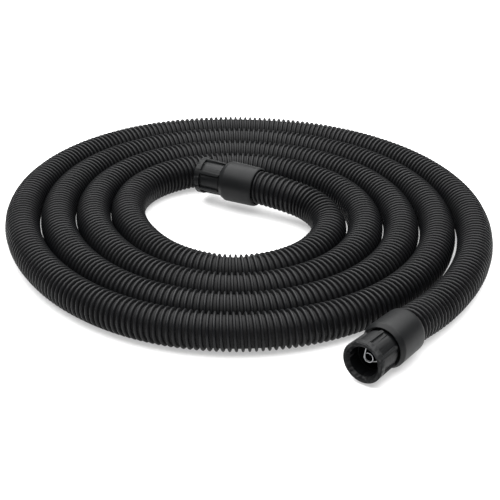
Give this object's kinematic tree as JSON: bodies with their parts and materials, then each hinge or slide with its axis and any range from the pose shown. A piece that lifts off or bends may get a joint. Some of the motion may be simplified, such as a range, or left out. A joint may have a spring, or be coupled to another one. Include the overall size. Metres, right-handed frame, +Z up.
{
  "type": "vacuum hose",
  "caption": "Corrugated suction hose laid in a loose flat coil, with a smooth collar and a free-turning ribbed connector at each end.",
  "frame": {"origin": "on the floor, under the middle of the coiled hose and its fittings", "axes": "+Z up from the floor; the outer connector's mouth faces -Y at the +X side of the coil"},
  "size_m": [0.557, 0.5078, 0.0521],
  "materials": {
    "tubing": "satin black polyethylene, corrugated",
    "moulding": "satin black polypropylene with a fine moulded grain",
    "seal": "matt black rubber",
    "ring": "natural acetal",
    "wire": "bright drawn stainless wire"
  },
  "bodies": {
    "hose": {"hose": "tubing", "outer_collar": "moulding", "outer_lip_seal": "seal", "outer_ferrule": "moulding", "inner_collar": "moulding", "inner_lip_seal": "seal", "inner_ferrule": "moulding"},
    "outer_swivel": {"outer_connector": "moulding", "outer_retaining_ring": "ring", "outer_wire_stop": "wire"},
    "inner_swivel": {"inner_connector": "moulding", "inner_retaining_ring": "ring"}
  },
  "joints": [
    {"name": "outer_swivel_turn", "type": "hinge", "parent": "hose", "child": "outer_swivel", "pos_m": [0.25594, -0.17448, 0.0226], "axis": [0, -1, 0], "continuous": true},
    {"name": "inner_swivel_turn", "type": "hinge", "parent": "hose", "child": "inner_swivel", "pos_m": [-0.10265, 0.04364, 0.0295], "axis": [-0.9898, -0.1426, 0], "continuous": true}
  ]
}
